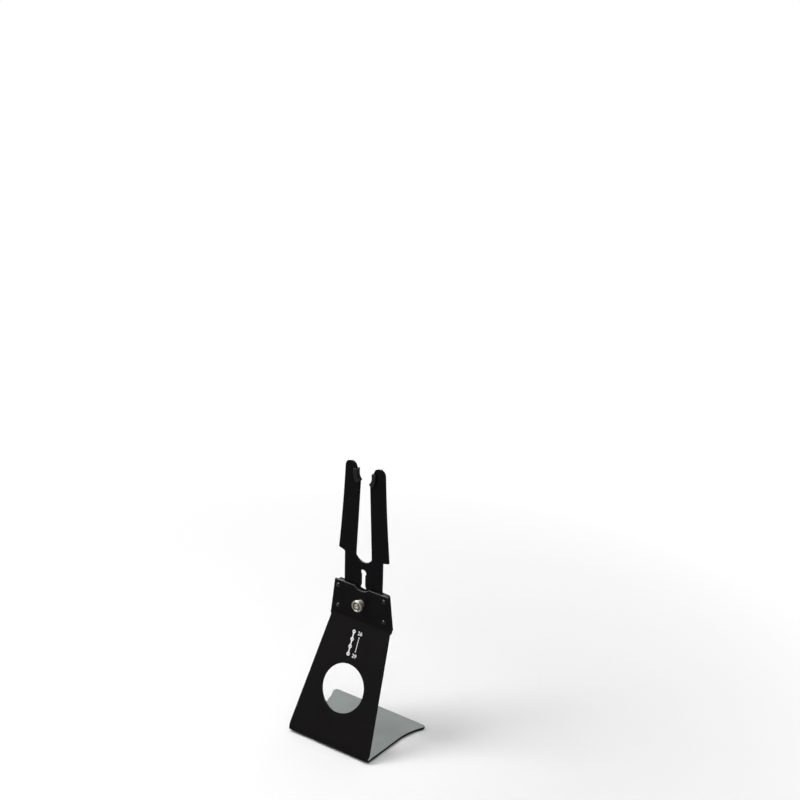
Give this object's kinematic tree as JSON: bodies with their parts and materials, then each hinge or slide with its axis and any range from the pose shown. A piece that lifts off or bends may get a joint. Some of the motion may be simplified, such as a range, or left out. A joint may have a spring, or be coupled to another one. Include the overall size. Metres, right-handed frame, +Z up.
{
  "type": "bike display stand",
  "caption": "Folded black steel stand whose forked plate slides up and down behind an upright head, locks with a sprung pull pin and holds a bicycle upright by its rear axle end.",
  "frame": {"origin": "bottom centre of the bounding box, on the floor, midway between the stand's left and right sides and midway between the front of the fold and the floor plate's back edge", "axes": "+Z up, +Y from the leaning front plate towards the wheel, +X to the right seen from the front"},
  "size_m": [0.156, 0.1212, 0.397],
  "materials": {
    "powder_coat": "satin black powder coat with a fine texture",
    "black_steel": "blackened, low gloss",
    "bright_steel": "turned and nickel plated, warm and bright",
    "spring_steel": "plain spring steel",
    "rubber": "matt black rubber"
  },
  "bodies": {
    "frame": {"base_bracket": "powder_coat", "guide_strip_left": "powder_coat", "guide_strip_right": "powder_coat", "cover_plate": "powder_coat", "rivet_1": "black_steel", "rivet_2": "black_steel", "rivet_3": "black_steel", "rivet_4": "black_steel", "plunger_bush": "bright_steel", "plunger_spring": "spring_steel", "foot_1": "rubber", "foot_2": "rubber", "foot_3": "rubber", "foot_4": "rubber"},
    "fork": {"fork_plate": "powder_coat", "saddle_pad_left": "rubber", "saddle_pad_right": "rubber"},
    "plunger": {"pull_knob": "bright_steel", "lock_pin": "bright_steel", "retaining_clip": "spring_steel"}
  },
  "joints": [
    {"name": "fork_height", "type": "slide", "parent": "frame", "child": "fork", "axis": [0, 0, 1], "range_m": [-0.045, 0.0225]},
    {"name": "plunger_pull", "type": "slide", "parent": "frame", "child": "plunger", "axis": [0, -1, 0], "range_m": [0, 0.004], "stiffness_N_per_m": 1200, "springref_m": -0.004, "deforming": ["plunger_spring"]}
  ]
}
